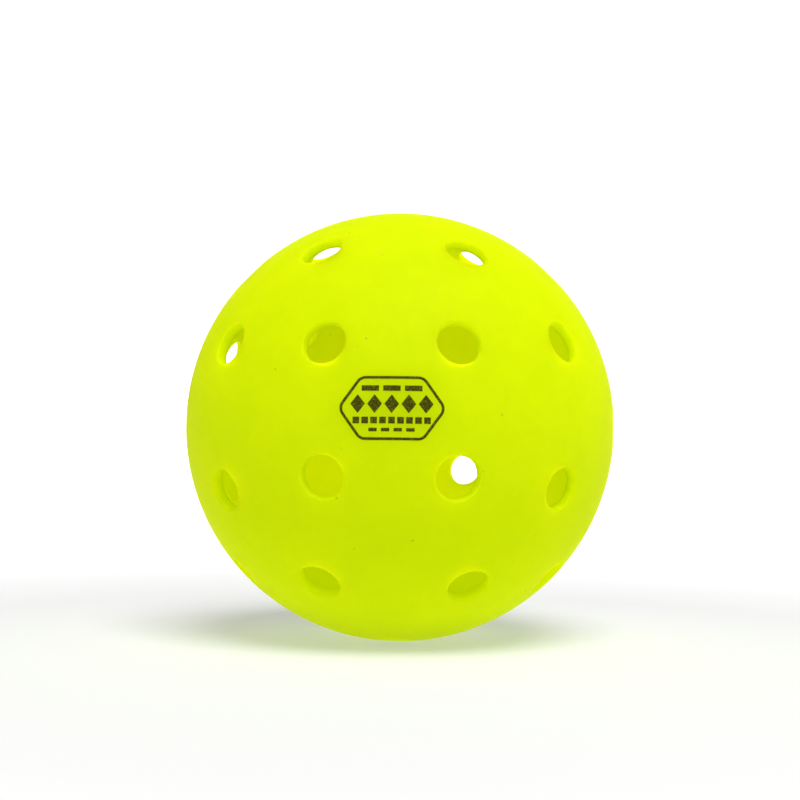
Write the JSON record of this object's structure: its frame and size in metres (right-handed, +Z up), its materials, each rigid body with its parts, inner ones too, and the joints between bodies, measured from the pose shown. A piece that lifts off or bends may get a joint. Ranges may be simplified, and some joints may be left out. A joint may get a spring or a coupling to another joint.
{
  "type": "pickleball ball",
  "caption": "Hollow perforated plastic ball for outdoor pickleball: two welded half shells, a hole-free belt at the weld, rounded hole edges and a small printed mark.",
  "frame": {"origin": "centre of the ball", "axes": "Y runs through the two poles, with the printed front pole at -Y; the weld lies in the XZ plane; +Z is up with the printed mark upright"},
  "size_m": [0.074, 0.074, 0.074],
  "materials": {
    "shell_plastic": "fluorescent yellow-green polyethylene, matt and slightly translucent",
    "weld_plastic": "the same plastic, melted and trimmed flush",
    "ink": "thin dark pad-printed ink, slightly speckled"
  },
  "bodies": {
    "root": {"front_half_shell": "shell_plastic", "rear_half_shell": "shell_plastic", "weld_ring": "weld_plastic", "print_border": "ink", "print_figure": "ink"}
  },
  "joints": []
}
